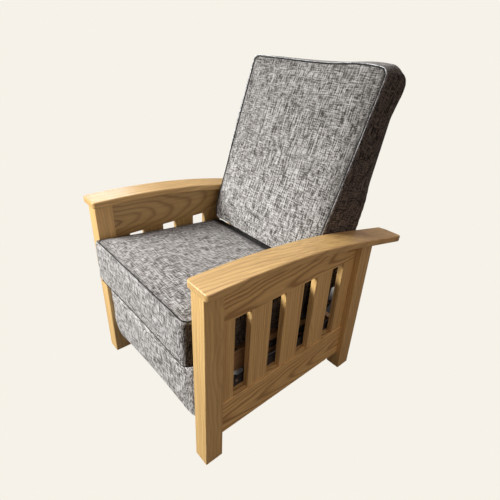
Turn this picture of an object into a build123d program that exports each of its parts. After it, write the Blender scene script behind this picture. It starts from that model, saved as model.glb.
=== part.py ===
from build123d import *
import os
from math import atan2, cos, degrees, hypot, radians, sin, tan

os.makedirs("parts", exist_ok=True)

# Mission reclining armchair, in millimetres, +Z up.
# The sitter faces -Y, so the sitter's left is +X. The origin is on the floor, under the middle.

# Side frames
frame_wide = 670.0          # outside of the legs
frame_deep = 689.0          # front of the front legs to the back of the rear legs
leg_wide = 55.0             # across the chair
leg_deep = 60.0             # along the chair
leg_ease = 2.5
foot_ease = 2.0

bottom_rail_low = 67.0
bottom_rail_high = 128.0
bottom_rail_thick = 30.0
bottom_rail_inset = 20.0    # behind the outer faces of the legs
bottom_rail_ease = 2.5

top_rail_low = 491.0
top_rail_thick = 25.0
top_rail_inset = 22.5

slat_count = 3
slat_wide_share = 0.1345    # of the distance between the legs
slot_wide_share = 0.1011
slat_thick = 20.0
slat_inset = 24.0

rail_tenon_long = 22.0
rail_tenon_thick = 12.0
rail_tenon_shoulder = 12.0
slat_tenon_long = 12.0
slat_tenon_thick = 10.0
slat_tenon_shoulder = 7.0

# Armrests: level in front, one long bow, then a straight tail that falls to the back
arm_top = 641.0
arm_thick = 22.0
arm_wide = 89.0
arm_overhang = 23.5         # past the outer faces of the legs
arm_nose = 7.0              # past the front of the legs
arm_tail = 143.0            # past the back of the legs
arm_bow_start = 60.0        # behind the front of the legs
arm_bow_long = 540.0
arm_bow_turn = 12.0         # degrees
arm_corner = 13.0
arm_round = 4.0
arm_tail_chamfer = 22.0
arm_tail_chamfer_in = 12.0

dowel_radius = 5.0
dowel_below = 24.0
dowel_above = 14.0
glue_gap = 0.1

# Stretchers between the side frames
stretcher_thick = 22.0
front_stretcher_back = 300.0    # its front face, behind the front of the legs
front_stretcher_low = 70.0
front_stretcher_high = 46.0
rear_stretcher_back = 12.0      # its front face, behind the front of the rear legs
rear_stretcher_low = 80.0
rear_stretcher_high = 110.0

# Steel
plate_thick = 4.0
plate_gap = 1.0             # between plates that pass each other
link_wide = 22.0
link_boss = 13.0            # radius of a plate's rounded end
pin_radius = 4.0
pin_head_radius = 8.0
pin_head_thick = 1.7
pin_play = 0.08             # radial clearance of a turning fit
pin_fit = 0.02              # radial clearance of a riveted fit
pin_overlap = 0.3           # from a head or collar to the plate beside it
loose_play = 0.25           # radial clearance at the pivots that close a linkage

base_plate_low = 120.0
base_plate_high = 112.0
base_plate_gap = 6.0        # to the legs
base_flange_wide = 26.0
base_hole_radius = 8.0
base_hole_drop = 24.0
base_hole_place_share = (0.1, 0.2, 0.34, 0.5, 0.6, 0.9)
screw_radius = 2.5
screw_head_radius = 5.0
screw_head_thick = 3.0
screw_long = 20.0
base_screw_rise = 30.0
base_screw_place_share = (0.04, 0.36, 0.64, 0.96)

# Swing links that carry the seat on the base
swing_long = 70.0
swing_rest_angle = 15.0     # behind straight down
swing_gap = 7.0             # from the base plate to the links
swing_front_share = 0.218   # base pivots, as shares of the frame's depth
swing_rear_share = 0.682
swing_pivot_drop = 17.0     # below the top of the base plate
swing_pin_radius = 5.0
hanger_gap = 4.0            # from the links to the seat hangers

# Seat
seat_fall = 6.2             # degrees, down to the back
seat_front_low = 349.0      # bottom front edge of the cushion
seat_nose = 15.0            # front of the cushion, ahead of the legs
seat_deep = 506.0
seat_thick = 163.0
seat_half_wide = 272.0
seat_crown = 7.0
seat_pull = 4.0             # how far a side is drawn in between its corners
seat_tuck = 8.0             # how far the bottom edge is drawn in
seat_corner = 22.0
seat_bulge = 10.0
plug_inset = 42.0           # the underside that sits between the rails
plug_gap = 6.0
plug_deep = 13.7
soft_gap = 0.3

seat_rail_thick = 20.0
seat_rail_high = 82.0
seat_rail_drop = 18.0       # top edge, below the cushion's bottom edge
seat_rail_front = 82.0      # behind the front of the cushion, along the seat
seat_rail_long = 500.0
seat_cross_front_high = 46.0
seat_cross_rear_high = 60.0
seat_cross_thick = 20.0
notch_wide = 24.0
notch_rise = 28.0
strap_thick = 2.0
strap_wide = 50.0
strap_long_count = 5
strap_cross_count = 4
strap_margin = 12.0

bolt_radius = 4.0
bolt_head_radius = 8.0
bolt_head_thick = 3.0
bolt_nut_radius = 7.0
bolt_nut_thick = 4.0
front_bolt_back = (250.0, 312.0)
rear_bolt_back = (420.0, 520.0)
bolt_drop = 38.0            # below the top edge of the seat rail

link_plate_front = 112.0    # along the seat, behind the front of the cushion
link_plate_long = 236.0
link_plate_drop = 3.0
link_plate_high = 74.0

# Footrest linkage: two equal links carry an angled carrier, and a push link turns the footrest
drive_back = 110.0          # drive pivot, behind the front of the legs
drive_rise = 296.0
follower_back = 70.0        # from the drive pivot
follower_drop = 8.0
drive_long = 220.0
drive_rest_angle = 65.0     # degrees below level, pointing back
carrier_reach = 128.0       # forward from the drive link's end to the footrest pivot
carrier_rise = 165.4
crank_long = 40.0
crank_lead = 45.0           # degrees between the carrier and the crank at rest
cross_rod_radius = 8.0

# Footrest
footrest_low = 129.0
footrest_high = 209.0
footrest_half_wide = 274.0
footrest_set_back = 5.0     # its face, behind the front of the legs
footrest_thick = 41.0
footrest_corner = 46.0
footrest_top_corner = 14.0
footrest_crown = 6.0
footrest_pull = 3.0
board_thick = 12.0
board_margin = 38.0
board_edge = 10.0
board_corner = 40.0
bracket_flange_wide = 30.0
bracket_flange_low = 176.0
bracket_flange_high = 96.0

# Back
back_lean = 19.8            # degrees, front face
back_rear_lean = 12.5       # degrees, rear face
back_front_set = 451.0      # front face at back_front_rise, behind the front of the legs
back_front_rise = 470.0
back_rear_set = 690.0
back_rear_rise = 569.0
back_front_top = 1068.0     # upper edge of the front face
back_top_rise = -5.0        # degrees, of the top behind that edge
back_low = 346.0
back_reach = 205.0          # how far the outlines run past the bottom
back_heel = 511.0           # behind the seat cushion
back_chin = 487.0           # height of the lower front edge
back_chin_set = 456.0
back_chin_fall = 7.0
back_half_low = 245.0       # front face, at the very bottom
back_half_arm = 264.5       # between the armrests
back_half_mid = 273.0
back_half_high = 278.0
back_arm_at = 180.0         # along the front face, from back_front_rise
back_mid_share = 0.52       # of the way from there up to the top corner
back_pull = 5.0
back_corner = 16.0
back_edge = 12.0
back_edge_inset = 4.0
back_top_round = 50.0
back_front_round = 14.0
back_crown = 8.0

pocket_half_wide = 251.0
pocket_deep = 52.0
pocket_top_margin = 83.0    # below the upper edge of the front face
cover_deep = 6.0
cover_lap = 6.0
stile_wide = 30.0
stile_deep = 38.0
stile_low = 352.0
stile_margin = 4.0
back_rail_high = 60.0
back_rail_deep = 22.0
back_rail_share = (0.03, 0.5, 0.968)    # of the room between the ends of the stiles
back_pivot_back = 596.0     # behind the front of the legs
back_pivot_rise = 292.0
bracket_long = 190.0
bracket_wide = 32.0
hanger_rear_rise = 16.0

overrun = 2.0

# Places worked out from the sizes above
front_y = -(frame_deep + arm_tail - seat_nose - seat_bulge) / 2
rear_leg_y = front_y + frame_deep - leg_deep
inner_front_y = front_y + leg_deep
clear_deep = frame_deep - 2 * leg_deep
pocket_top = back_front_top - pocket_top_margin
frame_mid_y = front_y + frame_deep / 2
leg_out = frame_wide / 2
leg_in = leg_out - leg_wide
leg_mid = leg_out - leg_wide / 2

bottom_rail_top = bottom_rail_low + bottom_rail_high
bottom_rail_out = leg_out - bottom_rail_inset
bottom_rail_in = bottom_rail_out - bottom_rail_thick
bottom_rail_mid = bottom_rail_out - bottom_rail_thick / 2
top_rail_out = leg_out - top_rail_inset
top_rail_mid = top_rail_out - top_rail_thick / 2
slat_out = leg_out - slat_inset
slat_mid = slat_out - slat_thick / 2
slat_wide = clear_deep * slat_wide_share
slot_wide = clear_deep * slot_wide_share
stile_edge_wide = (clear_deep - slat_count * slat_wide - (slat_count + 1) * slot_wide) / 2
slat_high = top_rail_low - bottom_rail_top
slat_mid_z = bottom_rail_top + slat_high / 2

arm_out = leg_out + arm_overhang
arm_in = arm_out - arm_wide
arm_front_y = front_y - arm_nose
bow_start_y = front_y + arm_bow_start
bow_radius = arm_bow_long / sin(radians(arm_bow_turn))
tail_long = (front_y + frame_deep + arm_tail - bow_start_y - arm_bow_long) / cos(radians(arm_bow_turn))

base_in = bottom_rail_in - plate_thick
swing_out = base_in - swing_gap
swing_in = swing_out - plate_thick
hanger_out = swing_in - hanger_gap
hanger_in = hanger_out - plate_thick
seat_rail_in = hanger_in - seat_rail_thick
link_plate_in = seat_rail_in - plate_thick
drive_out = link_plate_in - plate_gap
drive_in = drive_out - plate_thick
carrier_out = drive_in - plate_gap
carrier_in = carrier_out - plate_thick
bracket_out = carrier_in - plate_gap
bracket_in = bracket_out - plate_thick

base_top = base_plate_low + base_plate_high
base_front_y = inner_front_y + base_plate_gap
base_long = clear_deep - 2 * base_plate_gap

fall_sin = sin(radians(seat_fall))
fall_cos = cos(radians(seat_fall))
deck_y = front_y - seat_nose
hands = ((1, "left"), (-1, "right"))


def deck(along, above):
    """The y and z of a point of the seat, along its slope and square to it."""
    y = deck_y + along * fall_cos + above * fall_sin
    return (y, seat_front_low - along * fall_sin + above * fall_cos)


def turned(angle, length):
    """The y and z of a step of this length, at this angle above straight ahead."""
    return (-length * cos(radians(angle)), length * sin(radians(angle)))


def moved(point, step):
    return (point[0] + step[0], point[1] + step[1])


# Pivots, as y and z
base_screw_z = base_plate_low + base_screw_rise
base_screws_at = [(base_front_y + base_long * share, base_screw_z) for share in base_screw_place_share]
swing_pivot_z = base_top - swing_pivot_drop
swing_shares = (swing_front_share, swing_rear_share)
swing_base_pivots = [(front_y + frame_deep * share, swing_pivot_z) for share in swing_shares]
swing_step = (swing_long * sin(radians(swing_rest_angle)), -swing_long * cos(radians(swing_rest_angle)))
swing_seat_pivots = [moved(pivot, swing_step) for pivot in swing_base_pivots]
drive_pivot = (front_y + drive_back, drive_rise)
follower_pivot = moved(drive_pivot, (follower_back, -follower_drop))
drive_step = turned(drive_rest_angle - 180, drive_long)
drive_end = moved(drive_pivot, drive_step)
follower_end = moved(follower_pivot, drive_step)
carrier_step = (-carrier_reach, carrier_rise)
footrest_pivot = moved(drive_end, carrier_step)
crank_angle = degrees(atan2(carrier_rise, carrier_reach)) - 180 + crank_lead
crank_step = turned(crank_angle, crank_long)
crank_pivot = moved(drive_end, crank_step)
push_pivot = moved(footrest_pivot, crank_step)
back_pivot = (front_y + back_pivot_back, back_pivot_rise)


def save(builder, name):
    builder.part.label = name
    export_step(builder.part, f"parts/{name}.step")


def arm_curve(depth):
    """The bowed line of an armrest, this far below its upper face."""
    level = Line((arm_front_y, arm_top - depth), (bow_start_y, arm_top - depth))
    bow = JernArc(level @ 1, level % 1, bow_radius - depth, -arm_bow_turn)
    tail = Line(bow @ 1, bow @ 1 + (bow % 1) * tail_long)
    return level @ 0, tail @ 1


def underside_z(y):
    """Height of the armrest's lower face at this y."""
    reach = y - bow_start_y
    if reach <= 0:
        return arm_top - arm_thick
    radius = bow_radius - arm_thick
    turn = radians(arm_bow_turn)
    centre_z = arm_top - bow_radius
    if reach <= radius * sin(turn):
        return centre_z + (radius**2 - reach**2) ** 0.5
    return centre_z + radius * cos(turn) - (reach - radius * sin(turn)) * tan(turn)


def cut_under_arm():
    """Takes off everything above the lower face of the armrests."""
    with BuildSketch(Plane.YZ) as above:
        with BuildLine():
            start, end = arm_curve(arm_thick)
            high = arm_top + overrun
            Polyline(start, (start.X, high), (end.X, high), end)
        make_face()
    extrude(above.sketch, amount=frame_wide, both=True, mode=Mode.SUBTRACT)


def board(side, near, far, middle, size, mode=Mode.ADD):
    """A board between two distances from the chair's middle, with this middle and size in y and z."""
    with BuildSketch(Plane.YZ.offset(side * near)) as face:
        with Locations(middle):
            Rectangle(*size)
    extrude(face.sketch, amount=side * (far - near), mode=mode)


def rail_tenon_bar(side, middle, low, high, mode):
    """A rail's two tenons in one bar, from the bottom of one mortise to the other."""
    half = rail_tenon_thick / 2
    heights = (low + rail_tenon_shoulder, high - rail_tenon_shoulder)
    size = (clear_deep + 2 * rail_tenon_long, heights[1] - heights[0])
    board(side, middle - half, middle + half, (frame_mid_y, sum(heights) / 2), size, mode)


def both_tenon_bars(side, mode):
    rail_tenon_bar(side, bottom_rail_mid, bottom_rail_low, bottom_rail_top, mode)
    rail_tenon_bar(side, top_rail_mid, top_rail_low, underside_z(rear_leg_y), mode)


def upright_rows():
    """Middle y and width of each slat and each end stile."""
    pitch = slat_wide + slot_wide
    first = inner_front_y + stile_edge_wide + slot_wide + slat_wide / 2
    slats = [(first + pitch * turn, slat_wide) for turn in range(slat_count)]
    ends = [inner_front_y + stile_edge_wide / 2, rear_leg_y - stile_edge_wide / 2]
    return slats, [(y, stile_edge_wide) for y in ends]


def upright_tenons(side, rows, mode):
    half = slat_tenon_thick / 2
    for y, wide in rows:
        size = (wide - 2 * slat_tenon_shoulder, slat_high + 2 * slat_tenon_long)
        board(side, slat_mid - half, slat_mid + half, (y, slat_mid_z), size, mode)


def dowel_places(side):
    """Where the dowels under an armrest stand: one in each leg, two in the top rail."""
    legs = [(side * leg_mid, y + leg_deep / 2) for y in (front_y, rear_leg_y)]
    rail = [(side * top_rail_mid, inner_front_y + clear_deep * part / 3) for part in (1, 2)]
    return legs + rail


def dowels(side, radius, mode=Mode.ADD):
    for x, y in dowel_places(side):
        with BuildSketch(Plane.XY.offset(underside_z(y) - dowel_below)) as end:
            with Locations((x, y)):
                Circle(radius)
        extrude(end.sketch, amount=dowel_below + dowel_above, mode=mode)


def rod(side, near, far, point, radius, mode=Mode.ADD):
    """A round bar or bore across the chair, between two distances from its middle."""
    with BuildSketch(Plane.YZ.offset(side * near)) as end:
        with Locations(point):
            Circle(radius)
    extrude(end.sketch, amount=side * (far - near), mode=mode)


def plate(side, near, outline_points, radii, holes):
    """A flat steel plate: the hull of rounded ends, with pin holes."""
    with BuildSketch(Plane.YZ.offset(side * near)) as blank:
        for point, radius in zip(outline_points, radii):
            with Locations(point):
                Circle(radius)
        make_hull()
    extrude(blank.sketch, amount=side * plate_thick)
    for point, radius in holes:
        rod(side, near - overrun, near + plate_thick + overrun, point, radius, Mode.SUBTRACT)


def link(side, near, first, second, holes, wide=link_wide):
    """A straight link between two pivots."""
    plate(side, near, (first, second), (wide / 2, wide / 2), holes)


def fixed(point, radius=pin_radius):
    return (point, radius + pin_fit)


def turning(point, radius=pin_radius):
    return (point, radius + pin_play)


def rim_of(faces):
    """The edges that only one of these faces holds."""
    edges = [edge for face in faces for edge in face.edges()]
    return [edge for edge in edges if sum(edge.is_same(other) for other in edges) == 1]


# Legs, with mortises for the rails and a bore for the armrest's dowel
for side, hand in hands:
    for end, leg_y in (("front", front_y), ("rear", rear_leg_y)):
        with BuildPart() as leg:
            with BuildSketch(Plane.XY):
                with Locations((side * leg_mid, leg_y + leg_deep / 2)):
                    Rectangle(leg_wide, leg_deep)
            extrude(amount=arm_top)
            fillet(leg.edges().filter_by(Axis.Z), leg_ease)
            chamfer(leg.faces().sort_by(Axis.Z)[0].edges(), foot_ease)
            cut_under_arm()
            both_tenon_bars(side, Mode.SUBTRACT)
            dowels(side, dowel_radius + glue_gap, Mode.SUBTRACT)
        save(leg, f"{hand}_{end}_leg")

# Bottom and top rails
for side, hand in hands:
    slat_rows, end_rows = upright_rows()
    with BuildPart() as rail:
        middle = (frame_mid_y, bottom_rail_low + bottom_rail_high / 2)
        board(side, bottom_rail_in, bottom_rail_out, middle, (clear_deep, bottom_rail_high))
        outer = rail.faces().sort_by(Axis.X)[-1 if side > 0 else 0]
        fillet(outer.edges().filter_by(Axis.Y), bottom_rail_ease)
        rail_tenon_bar(side, bottom_rail_mid, bottom_rail_low, bottom_rail_top, Mode.ADD)
        upright_tenons(side, slat_rows + end_rows, Mode.SUBTRACT)
        for spot in base_screws_at:
            bore = screw_radius + pin_fit
            rod(side, bottom_rail_in - overrun, base_in + screw_long, spot, bore, Mode.SUBTRACT)
    save(rail, f"{hand}_bottom_rail")

    with BuildPart() as rail:
        middle = (frame_mid_y, (top_rail_low + arm_top) / 2)
        board(side, top_rail_out - top_rail_thick, top_rail_out, middle, (clear_deep, arm_top - top_rail_low))
        cut_under_arm()
        rail_tenon_bar(side, top_rail_mid, top_rail_low, underside_z(rear_leg_y), Mode.ADD)
        upright_tenons(side, slat_rows + end_rows, Mode.SUBTRACT)
        dowels(side, dowel_radius + glue_gap, Mode.SUBTRACT)
    save(rail, f"{hand}_top_rail")

    # Slats and the stiles at each end of the row
    for rows, name in ((slat_rows, "slats"), (end_rows, "end_stiles")):
        with BuildPart() as uprights:
            for y, wide in rows:
                board(side, slat_out - slat_thick, slat_out, (y, slat_mid_z), (wide, slat_high))
            upright_tenons(side, rows, Mode.ADD)
        save(uprights, f"{hand}_{name}")

# Armrests, rounded in plan at the front, with the inner corner of the tail cut off
for side, hand in hands:
    with BuildPart() as arm:
        with BuildSketch(Plane.YZ.offset(side * arm_in)):
            with BuildLine():
                top_start, top_end = arm_curve(0)
                low_start, low_end = arm_curve(arm_thick)
                Line(top_start, low_start)
                Line(top_end, low_end)
            make_face()
        extrude(amount=side * arm_wide)
        nose = arm.faces().sort_by(Axis.Y)[0].edges().filter_by(Axis.X, reverse=True)
        fillet(nose, arm_corner)
        tail_edges = arm.faces().sort_by(Axis.Y)[-1].edges().filter_by(Axis.X, reverse=True)
        inner, outer = sorted(tail_edges, key=lambda edge: abs(edge.center().X))
        fillet(outer, arm_corner)
        inner = arm.edges().sort_by_distance(inner.center())[0]
        chamfer(inner, arm_tail_chamfer, arm_tail_chamfer_in)
        upper = [face for face in arm.faces() if face.normal_at().Z > 0.5]
        lower = [face for face in arm.faces() if face.normal_at().Z < -0.5]
        fillet(rim_of(upper) + rim_of(lower), arm_round)
        dowels(side, dowel_radius + glue_gap, Mode.SUBTRACT)
    save(arm, f"{hand}_armrest")

with BuildPart() as arm_dowels:
    for side, hand in hands:
        dowels(side, dowel_radius)
save(arm_dowels, "arm_dowels")

# Stretchers
with BuildPart() as stretcher:
    face_y = front_y + front_stretcher_back
    middle = (face_y + stretcher_thick / 2, front_stretcher_low + front_stretcher_high / 2)
    board(1, -bottom_rail_in, bottom_rail_in, middle, (stretcher_thick, front_stretcher_high))
save(stretcher, "front_stretcher")

with BuildPart() as stretcher:
    face_y = rear_leg_y + rear_stretcher_back
    middle = (face_y + stretcher_thick / 2, rear_stretcher_low + rear_stretcher_high / 2)
    board(1, -leg_in, leg_in, middle, (stretcher_thick, rear_stretcher_high))
save(stretcher, "rear_stretcher")

# Steel base plates: an upright web on the bottom rail and a flange that turns inward
for side, hand in hands:
    with BuildPart() as base:
        middle = (base_front_y + base_long / 2, base_plate_low + base_plate_high / 2)
        board(side, base_in, bottom_rail_in, middle, (base_long, base_plate_high))
        flange_middle = (middle[0], base_plate_low + plate_thick / 2)
        board(side, base_in - base_flange_wide, base_in, flange_middle, (base_long, plate_thick))
        for share in base_hole_place_share:
            spot = (base_front_y + base_long * share, base_top - base_hole_drop)
            rod(side, base_in - overrun, bottom_rail_in + overrun, spot, base_hole_radius, Mode.SUBTRACT)
        for spot in base_screws_at:
            bore = screw_radius + pin_fit
            rod(side, base_in - overrun, bottom_rail_in + overrun, spot, bore, Mode.SUBTRACT)
        for pivot in swing_base_pivots:
            bore = swing_pin_radius + pin_fit
            rod(side, base_in - overrun, bottom_rail_in + overrun, pivot, bore, Mode.SUBTRACT)
    save(base, f"{hand}_base_plate")

with BuildPart() as screws:
    for side, hand in hands:
        for spot in base_screws_at:
            rod(side, base_in - screw_head_thick, base_in, spot, screw_head_radius)
            rod(side, base_in, base_in + screw_long, spot, screw_radius)
save(screws, "base_screws")

with BuildPart() as pins:
    for side, hand in hands:
        for pivot in swing_base_pivots:
            head_in = swing_in - pin_overlap - pin_head_thick
            rod(side, head_in, bottom_rail_in, pivot, swing_pin_radius)
            rod(side, head_in, swing_in - pin_overlap, pivot, pin_head_radius)
            rod(side, swing_out + pin_overlap, base_in, pivot, pin_head_radius)
save(pins, "base_pivot_pins")

# Swing links: the front pair and the rear pair hang the seat from the base plates
for base_pivot, seat_pivot, end in zip(swing_base_pivots, swing_seat_pivots, ("front", "rear")):
    play = (pin_play, pin_play if end == "front" else loose_play)
    with BuildPart() as links:
        for side, hand in hands:
            holes = [(base_pivot, swing_pin_radius + play[0]), (seat_pivot, swing_pin_radius + play[1])]
            link(side, swing_in, base_pivot, seat_pivot, holes)
    save(links, f"{end}_swing_links")

# Seat rails
rail_top_at = -seat_rail_drop
rail_low_at = rail_top_at - seat_rail_high
seat_rail_end = seat_rail_front + seat_rail_long


def bolt_spot(back):
    """A bolt hole in the seat rail, this far behind the front of the legs."""
    return deck((back + seat_nose) / fall_cos, rail_top_at - bolt_drop)


front_bolts = [bolt_spot(back) for back in front_bolt_back]
rear_bolts = [bolt_spot(back) for back in rear_bolt_back]
all_bolts = front_bolts + rear_bolts


def deck_board(side, near, far, along, above):
    """A board that follows the seat's slope, between two places along it and two above it."""
    low = [deck(place, above[0]) for place in along]
    high = [deck(place, above[1]) for place in along]
    with BuildSketch(Plane.YZ.offset(side * near)) as face:
        with BuildLine():
            Polyline(*low, *reversed(high), close=True)
        make_face()
    extrude(face.sketch, amount=side * (far - near))


for side, hand in hands:
    with BuildPart() as rail:
        span = (seat_rail_front, seat_rail_end)
        deck_board(side, seat_rail_in, hanger_in, span, (rail_low_at, rail_top_at))
        for spot in all_bolts:
            rod(side, seat_rail_in - overrun, hanger_in + overrun, spot, bolt_radius + pin_fit, Mode.SUBTRACT)
    save(rail, f"{hand}_seat_rail")

cross_top_at = rail_top_at + strap_thick
with BuildPart() as rail:
    span = (seat_rail_front, seat_rail_front + seat_cross_thick)
    deck_board(1, -seat_rail_in, seat_rail_in, span, (cross_top_at - seat_cross_front_high, cross_top_at))
    for side, hand in hands:
        low = cross_top_at - seat_cross_front_high
        corners = [deck(span[0] - overrun, low - overrun), deck(span[1] + overrun, low - overrun)]
        corners += [deck(span[1] + overrun, low + notch_rise), deck(span[0] - overrun, low + notch_rise)]
        with BuildSketch(Plane.YZ.offset(side * (seat_rail_in - notch_wide))):
            with BuildLine():
                Polyline(*corners, close=True)
            make_face()
        extrude(amount=side * (notch_wide + overrun), mode=Mode.SUBTRACT)
save(rail, "front_seat_rail")

with BuildPart() as rail:
    span = (seat_rail_end - seat_cross_thick, seat_rail_end)
    deck_board(1, -seat_rail_in, seat_rail_in, span, (cross_top_at - seat_cross_rear_high, cross_top_at))
save(rail, "rear_seat_rail")

# Webbing straps: crosswise on the side rails, lengthwise on the front and rear rails over them
deck_plane = Plane(origin=(0, deck_y, seat_front_low), x_dir=(1, 0, 0), z_dir=(0, fall_sin, fall_cos))
strap_span = 2 * (seat_rail_in - strap_margin) - strap_wide
with BuildPart() as straps:
    with BuildSketch(deck_plane.offset(cross_top_at)):
        with Locations((0, seat_rail_front + seat_rail_long / 2)):
            with GridLocations(strap_span / (strap_long_count - 1), 0, strap_long_count, 1):
                Rectangle(strap_wide, seat_rail_long)
    extrude(amount=strap_thick)
save(straps, "lengthwise_straps")

with BuildPart() as straps:
    free = seat_rail_long - 2 * seat_cross_thick
    with BuildSketch(deck_plane.offset(rail_top_at)):
        with Locations((0, seat_rail_front + seat_rail_long / 2)):
            with GridLocations(0, free / strap_cross_count, 1, strap_cross_count):
                Rectangle(2 * hanger_in, strap_wide)
    extrude(amount=strap_thick)
save(straps, "crosswise_straps")

# Seat hangers: steel plates outside the seat rails, down to the swing links and back to the back's pivot
hanger_back_end = deck(seat_rail_end - link_boss, rail_top_at - bolt_drop)
for side, hand in hands:
    with BuildPart() as hanger:
        front_seat_pivot, rear_seat_pivot = swing_seat_pivots
        reach = [front_seat_pivot, rear_seat_pivot, back_pivot]
        roots = [front_bolts[0], rear_bolts[0], rear_bolts[1]]
        with BuildSketch(Plane.YZ.offset(side * hanger_in)):
            for first, second in zip(reach, roots):
                with BuildSketch(mode=Mode.PRIVATE) as arm_shape:
                    for point in (first, second):
                        with Locations(point):
                            Circle(link_boss)
                    make_hull()
                add(arm_shape.sketch)
            with BuildSketch(mode=Mode.PRIVATE) as spine:
                for point in (front_bolts[0], rear_bolts[1]):
                    with Locations(point):
                        Circle(link_boss)
                make_hull()
            add(spine.sketch)
        extrude(amount=side * plate_thick)
        far = hanger_out + overrun
        for spot in all_bolts:
            rod(side, hanger_in - overrun, far, spot, bolt_radius + pin_fit, Mode.SUBTRACT)
        for pivot in swing_seat_pivots:
            rod(side, hanger_in - overrun, far, pivot, swing_pin_radius + pin_fit, Mode.SUBTRACT)
        rod(side, hanger_in - overrun, far, back_pivot, swing_pin_radius + pin_fit, Mode.SUBTRACT)
    save(hanger, f"{hand}_seat_hanger")

# Link plates inside the seat rails, with the footrest linkage's two pivots
for side, hand in hands:
    with BuildPart() as inner:
        plate_top_at = rail_top_at - link_plate_drop
        span = (link_plate_front, link_plate_front + link_plate_long)
        deck_board(side, link_plate_in, seat_rail_in, span, (plate_top_at - link_plate_high, plate_top_at))
        fillet(inner.edges().filter_by(Axis.X), link_boss)
        far = seat_rail_in + overrun
        for spot in front_bolts:
            rod(side, link_plate_in - overrun, far, spot, bolt_radius + pin_fit, Mode.SUBTRACT)
        rod(side, link_plate_in - overrun, far, drive_pivot, cross_rod_radius + pin_play, Mode.SUBTRACT)
        rod(side, link_plate_in - overrun, far, follower_pivot, pin_radius + pin_fit, Mode.SUBTRACT)
    save(inner, f"{hand}_link_plate")

# Back bracket plane: on the outer faces of the back's stiles
back_plate_out = pocket_half_wide - plate_gap
back_plate_in = back_plate_out - plate_thick

with BuildPart() as pins:
    for side, hand in hands:
        head_in = drive_in - pin_overlap - pin_head_thick
        rod(side, head_in, seat_rail_in, follower_pivot, pin_radius)
        rod(side, head_in, drive_in - pin_overlap, follower_pivot, pin_head_radius)
        for pivot in swing_seat_pivots:
            head_out = swing_out + pin_overlap + pin_head_thick
            rod(side, hanger_in, head_out, pivot, swing_pin_radius)
            rod(side, swing_out + pin_overlap, head_out, pivot, pin_head_radius)
            rod(side, hanger_out, swing_in - pin_overlap, pivot, pin_head_radius)
        head_in = back_plate_in - pin_overlap - pin_head_thick
        rod(side, head_in, hanger_out, back_pivot, swing_pin_radius)
        rod(side, head_in, back_plate_in - pin_overlap, back_pivot, pin_head_radius)
        rod(side, back_plate_out + pin_overlap, hanger_in, back_pivot, pin_head_radius)
save(pins, "seat_pivot_pins")

with BuildPart() as bolts:
    for side, hand in hands:
        for spots, nut_at in ((front_bolts, link_plate_in), (rear_bolts, seat_rail_in)):
            for spot in spots:
                rod(side, nut_at - bolt_nut_thick, hanger_out + bolt_head_thick, spot, bolt_radius)
                rod(side, hanger_out, hanger_out + bolt_head_thick, spot, bolt_head_radius)
                with BuildSketch(Plane.YZ.offset(side * (nut_at - bolt_nut_thick))):
                    with Locations(spot):
                        RegularPolygon(bolt_nut_radius, 6)
                extrude(amount=side * bolt_nut_thick)
save(bolts, "seat_bolts")

# Footrest linkage
for side, hand in hands:
    with BuildPart() as drive:
        plate(side, drive_in, (drive_pivot, drive_end), (link_boss, link_wide / 2), ())
        plate(side, drive_in, (drive_end, crank_pivot), (link_wide / 2, link_wide / 2), ())
        bores = ((drive_pivot, cross_rod_radius), (drive_end, pin_radius), (crank_pivot, pin_radius))
        for point, radius in bores:
            rod(side, drive_in - overrun, drive_out + overrun, point, radius + pin_fit, Mode.SUBTRACT)
    save(drive, f"{hand}_drive_link")

    with BuildPart() as follower:
        link(side, drive_in, follower_pivot, follower_end, (turning(follower_pivot), fixed(follower_end)))
    save(follower, f"{hand}_follower_link")

    with BuildPart() as carrier:
        plate(side, carrier_in, (follower_end, drive_end), (link_wide / 2, link_wide / 2), ())
        plate(side, carrier_in, (drive_end, footrest_pivot), (link_wide / 2, link_wide / 2), ())
        for point, play in ((follower_end, loose_play), (drive_end, pin_play), (footrest_pivot, pin_fit)):
            rod(side, carrier_in - overrun, carrier_out + overrun, point, pin_radius + play, Mode.SUBTRACT)
    save(carrier, f"{hand}_carrier_link")

    with BuildPart() as push:
        holes = (turning(crank_pivot), (push_pivot, pin_radius + loose_play))
        link(side, carrier_in, crank_pivot, push_pivot, holes, link_wide - 2)
    save(push, f"{hand}_push_link")

with BuildPart() as cross_rod:
    rod(1, -seat_rail_in + pin_overlap, seat_rail_in - pin_overlap, drive_pivot, cross_rod_radius)
save(cross_rod, "cross_rod")

with BuildPart() as pins:
    for side, hand in hands:
        head_in = carrier_in - pin_overlap - pin_head_thick / 2
        for pivot in (drive_end, crank_pivot):
            rod(side, head_in, drive_out, pivot, pin_radius)
            rod(side, head_in, carrier_in - pin_overlap, pivot, pin_head_radius)
save(pins, "drive_link_pins")

with BuildPart() as pins:
    for side, hand in hands:
        rod(side, head_in, drive_out, follower_end, pin_radius)
        rod(side, head_in, carrier_in - pin_overlap, follower_end, pin_head_radius)
save(pins, "follower_link_pins")

with BuildPart() as pins:
    for side, hand in hands:
        head_in = bracket_in - pin_overlap - pin_head_thick
        rod(side, head_in, carrier_out, footrest_pivot, pin_radius)
        rod(side, head_in, bracket_in - pin_overlap, footrest_pivot, pin_head_radius)
save(pins, "carrier_pins")

with BuildPart() as pins:
    for side, hand in hands:
        head_out = carrier_out + pin_overlap + pin_head_thick
        rod(side, bracket_in, head_out, push_pivot, pin_radius)
        rod(side, carrier_out + pin_overlap, head_out, push_pivot, pin_head_radius)
save(pins, "bracket_pins")

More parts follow.
